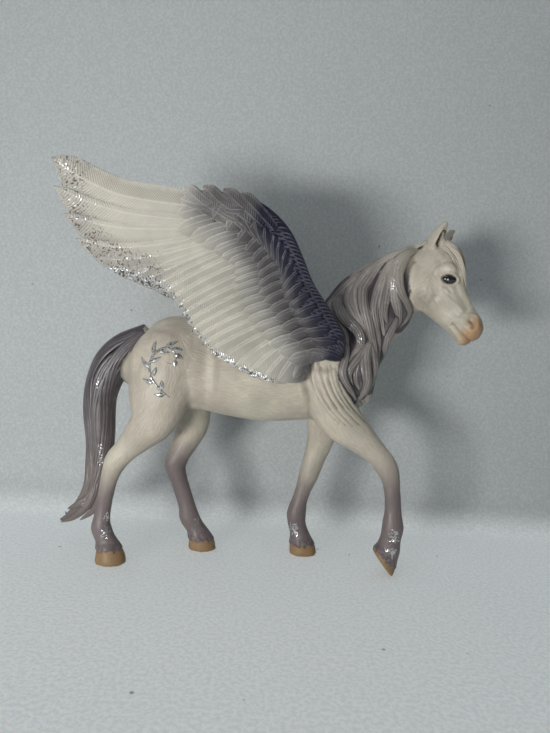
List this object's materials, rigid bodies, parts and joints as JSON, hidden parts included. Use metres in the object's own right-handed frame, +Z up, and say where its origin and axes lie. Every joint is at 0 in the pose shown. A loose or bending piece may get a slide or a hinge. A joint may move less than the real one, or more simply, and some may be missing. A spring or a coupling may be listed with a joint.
{
  "type": "winged horse figurine",
  "caption": "Small moulded plastic figurine of a walking winged horse with raised spread wings, a long wavy mane and a full tail, standing on its hooves.",
  "frame": {"origin": "centre of the bounding box at the level of the hooves' soles", "axes": "+X from tail to head, +Y to the horse's left, +Z up"},
  "size_m": [0.1426, 0.0886, 0.1234],
  "materials": {
    "body_paint": "pearl ivory paint with a soft sheen, airbrushed grey violet on mane, tail and lower legs",
    "wing_paint": "pearl ivory flight feathers, grey violet coverts, dark indigo leading edge, silver glitter on the tips"
  },
  "bodies": {
    "root": {"body": "body_paint", "wing_right": "wing_paint", "wing_left": "wing_paint"}
  },
  "joints": []
}
